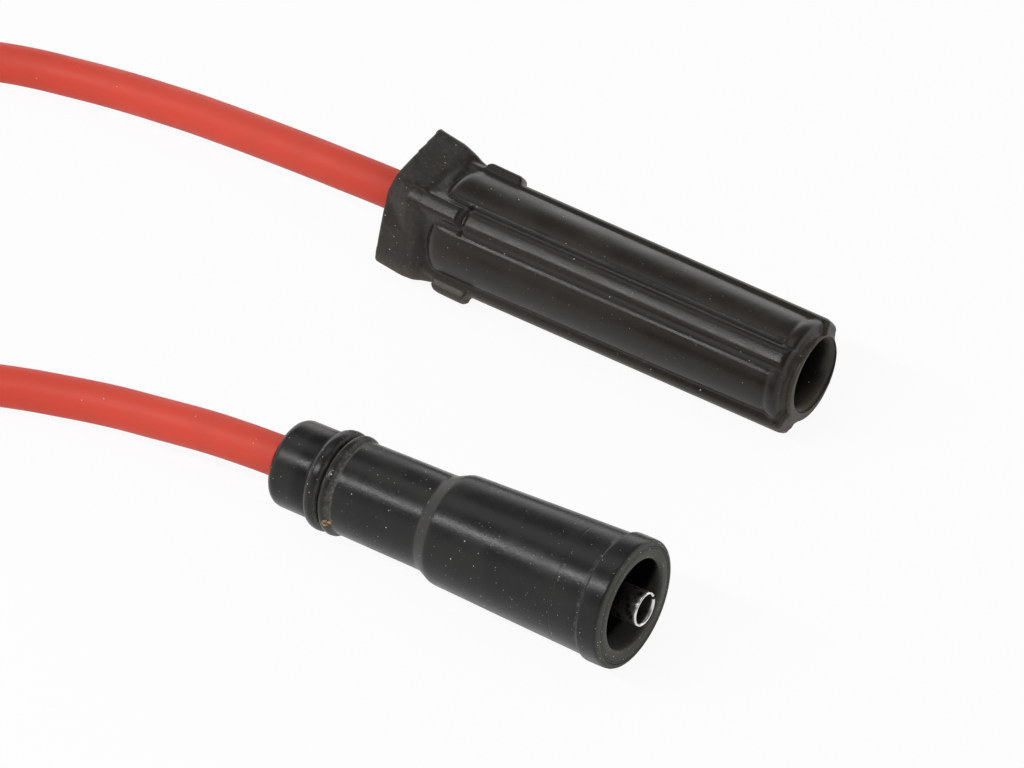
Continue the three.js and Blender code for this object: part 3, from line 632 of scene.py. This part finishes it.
# paler and rougher towards the bottom of the boot
low_side = (0 - up).ramp(3.5, 9)
fine = spot.specks(0.8, 0.12, 0.8) * (0.2 + film * 0.7 + collar_part * 0.5)
grit = (spot.specks(1.7, 0.17, 0.6) + fine).capped() * (1 - inside)
lines = hairlines(spot) * (1 - inside)
# dust in patches, on the collar and at the mouth, with the paler bottom
dust_and_pale_bands = smudge * 0.03 + film * 0.03 + collar_part * film * 0.10 + mouth_part * 0.14 + low_side * 0.55
skin = inside.tint((dust_and_pale_bands + lines * 0.25).capped().tint(RUBBER_BROWN, BROWN_DUST), PAINTED_BORE_SHADE)
skin = (grit * 0.85).tint(skin, GRIT)
feed(shader, base_color=skin, roughness=0.3 + smudge * 0.08 + dust_and_pale_bands * 0.8 + lines * 0.2,
     normal=relief(spot.noise(2.4, 4) * 0.3 + spot.noise(0.3, 2) * 0.5 + grit * 0.8 - lines * 0.3, 0.05),
     specular_ior_level=0.34)
plug_boot.data.materials.append(brown)

# Hidden metal
# In the plug boot the clip ring of spring wire closes the socket on the plug's nut, and at both
# ends the bared copper strands lie in the core crimps. They keep their plain forms.
SPRING = (0.50, 0.50, 0.49)
COPPER = (0.70, 0.36, 0.20)
METAL_DULL = (0.2, 0.16, 0.12)
for title, names, colour in (
        ("spring_wire", ("plug_terminal_clip",), SPRING),
        ("copper_strands", ("plug_end_conductor", "coil_end_conductor"), COPPER)):
    metal, shader, spot = start_material(title)
    dull = spot.noise(1.5, 4)
    feed(shader, base_color=(dull * 0.3).tint(colour, METAL_DULL),
         metallic=1.0, roughness=0.3 + dull * 0.2, normal=relief(spot.noise(6, 3), 0.02))
    for name in names:
        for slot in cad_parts[name].material_slots:
            slot.material = metal

# Floor and light
# A plain white floor without an edge in the picture, under a sky that is white all round and
# darker overhead, with a soft lamp above and a long narrow one over the near left of the boots.
bpy.ops.object.select_all(action="DESELECT")
bpy.ops.mesh.primitive_plane_add(size=6)
floor = bpy.context.object
floor.name = "floor"
FLOOR_GLOW = 0.93            # how much of its white doesn't depend on the light
white = bpy.data.materials.new("white_floor")
white.use_nodes = True
shade = Shade(white.node_tree)
shader = white.node_tree.nodes["Principled BSDF"]
feed(shader, base_color=(0.88, 0.88, 0.88), roughness=0.9, specular_ior_level=0.0)
paths = [shade.node("ShaderNodeLightPath", None, None, name)
         for name in ("Is Camera Ray", "Is Glossy Ray", "Is Transmission Ray")]
shown = (paths[0] + paths[1] + paths[2]).capped()
glow = shade.node("ShaderNodeEmission", None, {"Color": (1, 1, 1), "Strength": 1.0})
lit = Shade(white.node_tree, shader.outputs["BSDF"])
both = shade.node("ShaderNodeMixShader", None, {0: shown * FLOOR_GLOW, 1: lit, 2: glow})
white.node_tree.links.new(both.socket, white.node_tree.nodes["Material Output"].inputs["Surface"])
floor.data.materials.append(white)

SKY_HORIZON = 1.4
SKY_OVERHEAD = 0.22
SKY_BACK = 0.3               # how much brighter it is behind the lead than beside it
world = bpy.data.worlds.new("white_sky")
bpy.context.scene.world = world
world.use_nodes = True
shade = Shade(world.node_tree)
toward = {"Vector": shade.node("ShaderNodeTexCoord", None, None, "Generated")}
height = shade.node("ShaderNodeSeparateXYZ", None, toward, "Z")
backward = shade.node("ShaderNodeSeparateXYZ", None, toward, "Y")
world.node_tree.nodes["Background"].inputs["Color"].default_value = (1, 1, 1, 1)
strength = (SKY_HORIZON - height.ramp(0.2, 0.5) * (SKY_HORIZON - SKY_OVERHEAD)) * (1 + backward * SKY_BACK)
world.node_tree.links.new(strength.socket,
                          world.node_tree.nodes["Background"].inputs["Strength"])


def lamp(name, direction, distance, width, depth, power):
    """A flat lamp that faces the lead, its width along X."""
    place = Vector(direction).normalized() * distance
    bpy.ops.object.light_add(type="AREA", location=place)
    made = bpy.context.object
    made.name = name
    made.data.shape = "RECTANGLE"
    made.data.size = width
    made.data.size_y = depth
    made.data.energy = power
    facing = place.normalized()
    along = (Vector((1, 0, 0)) - facing * facing.x).normalized()
    made.rotation_euler = Matrix((along, facing.cross(along), facing)).transposed().to_euler()
    return made


lamp("overhead", (-0.35, 0.14, 1.0), 1.2, 1.2, 0.5, 2.2)
lamp("strip", (-0.44, -0.53, 0.73), 1.0, 0.9, 0.06, 5.4)
bpy.context.scene.view_settings.view_transform = "Standard"

bpy.context.view_layer.update()
